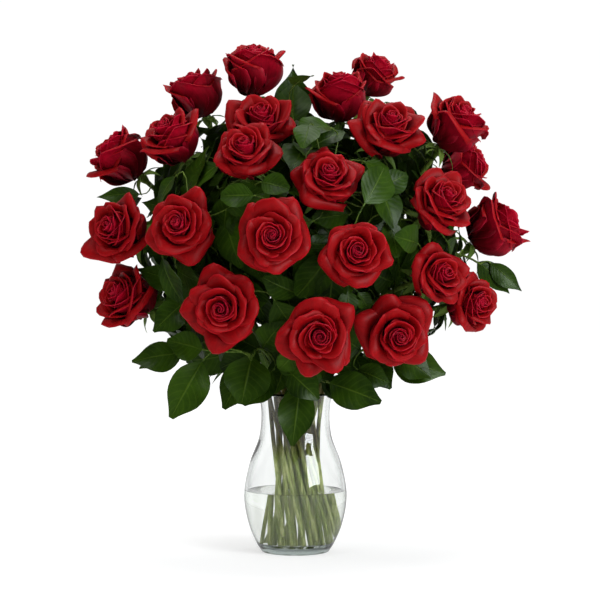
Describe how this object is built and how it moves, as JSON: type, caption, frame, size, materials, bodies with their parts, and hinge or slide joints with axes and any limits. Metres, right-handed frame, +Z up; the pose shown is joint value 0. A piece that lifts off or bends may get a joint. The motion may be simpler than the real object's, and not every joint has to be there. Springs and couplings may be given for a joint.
{
  "type": "roses in a vase",
  "caption": "Full rounded bouquet of open long-stemmed red roses with glossy green leaves, standing in water in a clear pear-shaped glass vase; rests on its flat foot.",
  "frame": {"origin": "middle of the vase's flat foot, on the surface that it stands on", "axes": "+Z up along the vase's axis; -Y towards the front of the bouquet, where most of the blooms face; +X to the right seen from the front"},
  "size_m": [0.524, 0.3826, 0.6135],
  "materials": {
    "glass": "clear, smooth, polished",
    "water": "clear, still",
    "petals": "velvety, soft sheen, darker in the folds",
    "rose_green": "satin, pale green stems and sepals, darker leaflets",
    "foliage": "glossy, leathery, pale midrib"
  },
  "bodies": {
    "root": {"vase": "glass", "water": "water", "bloom_01": "petals", "bloom_02": "petals", "bloom_03": "petals", "bloom_04": "petals", "bloom_05": "petals", "bloom_06": "petals", "bloom_07": "petals", "bloom_08": "petals", "bloom_09": "petals", "bloom_10": "petals", "bloom_11": "petals", "bloom_12": "petals", "bloom_13": "petals", "bloom_14": "petals", "bloom_15": "petals", "bloom_16": "petals", "bloom_17": "petals", "bloom_18": "petals", "bloom_19": "petals", "bloom_20": "petals", "bloom_21": "petals", "bloom_22": "petals", "bloom_23": "petals", "bloom_24": "petals", "rose_stem_01": "rose_green", "rose_stem_02": "rose_green", "rose_stem_03": "rose_green", "rose_stem_04": "rose_green", "rose_stem_05": "rose_green", "rose_stem_06": "rose_green", "rose_stem_07": "rose_green", "rose_stem_08": "rose_green", "rose_stem_09": "rose_green", "rose_stem_10": "rose_green", "rose_stem_11": "rose_green", "rose_stem_12": "rose_green", "rose_stem_13": "rose_green", "rose_stem_14": "rose_green", "rose_stem_15": "rose_green", "rose_stem_16": "rose_green", "rose_stem_17": "rose_green", "rose_stem_18": "rose_green", "rose_stem_19": "rose_green", "rose_stem_20": "rose_green", "rose_stem_21": "rose_green", "rose_stem_22": "rose_green", "rose_stem_23": "rose_green", "rose_stem_24": "rose_green", "spray_01": "foliage", "spray_02": "foliage", "spray_03": "foliage", "spray_04": "foliage", "spray_05": "foliage", "spray_06": "foliage", "spray_07": "foliage", "spray_08": "foliage", "spray_09": "foliage", "spray_10": "foliage"}
  },
  "joints": []
}
